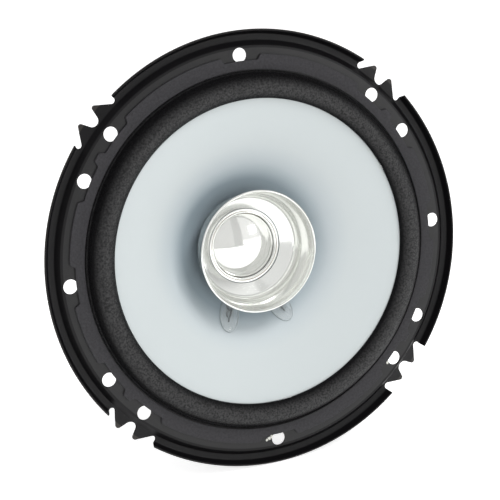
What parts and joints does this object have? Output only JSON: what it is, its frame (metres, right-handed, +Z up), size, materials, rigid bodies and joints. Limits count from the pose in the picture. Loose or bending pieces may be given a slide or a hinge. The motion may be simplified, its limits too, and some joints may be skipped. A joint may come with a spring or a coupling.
{
  "type": "coaxial car speaker",
  "caption": "Coaxial car speaker: stamped black steel basket with toothed rim, pale cone on a black half-roll surround, chrome horn tweeter in the middle, ring magnet motor behind.",
  "frame": {"origin": "on the speaker's axis, in the plane of the rim's rear face, which seats on the door panel", "axes": "+Y backwards along the axis, towards the magnet, so the cone faces -Y; +Z up, with the terminal board at the bottom; +X to the right seen from the front"},
  "size_m": [0.1658, 0.0676, 0.1658],
  "materials": {
    "black_steel": "satin",
    "gasket_fibre": "matte",
    "black_rubber": "matte",
    "cone_film": "satin",
    "cotton_cloth": "matte",
    "former_film": "satin",
    "copper_wire": "satin",
    "zinc_steel": "satin",
    "ferrite": "matte",
    "phenolic": "matte",
    "tinned_brass": "satin",
    "capacitor_sleeve": "gloss",
    "tinsel": "satin",
    "clear_glue": "clear gloss",
    "chrome": "polished",
    "dome_film": "polished",
    "black_plastic": "matte",
    "red_insulation": "satin",
    "black_insulation": "satin"
  },
  "bodies": {
    "chassis": {"basket": "black_steel", "gasket": "gasket_fibre", "top_plate": "zinc_steel", "magnet": "ferrite", "pole_yoke": "zinc_steel", "motor_rivet_1": "zinc_steel", "motor_rivet_2": "zinc_steel", "motor_rivet_3": "zinc_steel", "motor_rivet_4": "zinc_steel", "terminal_board": "phenolic", "terminal_positive": "tinned_brass", "terminal_negative": "tinned_brass", "board_rivet_left": "zinc_steel", "board_rivet_right": "zinc_steel", "capacitor": "capacitor_sleeve", "capacitor_lead_to_wire": "tinned_brass", "capacitor_lead_to_spade": "tinned_brass", "tweeter_horn": "chrome", "tweeter_clamp_ring": "chrome", "tweeter_pole_plate": "zinc_steel", "tweeter_magnet": "zinc_steel", "tweeter_yoke": "zinc_steel", "tweeter_post": "black_plastic", "tweeter_stud": "zinc_steel", "tweeter_washer": "zinc_steel", "tweeter_nut": "zinc_steel", "tweeter_wire_negative": "black_insulation", "tweeter_wire_positive": "red_insulation"},
    "cone_assembly": {"cone": "cone_film", "surround": "black_rubber", "spider": "cotton_cloth", "coil_former": "former_film", "voice_coil": "copper_wire", "tinsel_lead_left": "tinsel", "tinsel_lead_right": "tinsel", "coil_lead_left": "copper_wire", "coil_lead_right": "copper_wire", "glue_drop_left": "clear_glue", "glue_drop_right": "clear_glue"},
    "tweeter_diaphragm": {"tweeter_dome": "dome_film", "tweeter_voice_coil": "copper_wire"}
  },
  "joints": [
    {"name": "cone_travel", "type": "slide", "parent": "chassis", "child": "cone_assembly", "axis": [0, -1, 0], "range_m": [-0.003, 0.003], "stiffness_N_per_m": 2500, "deforming": ["surround", "spider", "tinsel_lead_left", "tinsel_lead_right"]},
    {"name": "tweeter_travel", "type": "slide", "parent": "chassis", "child": "tweeter_diaphragm", "axis": [0, -1, 0], "range_m": [-0.0002, 0.0002], "stiffness_N_per_m": 2000}
  ]
}
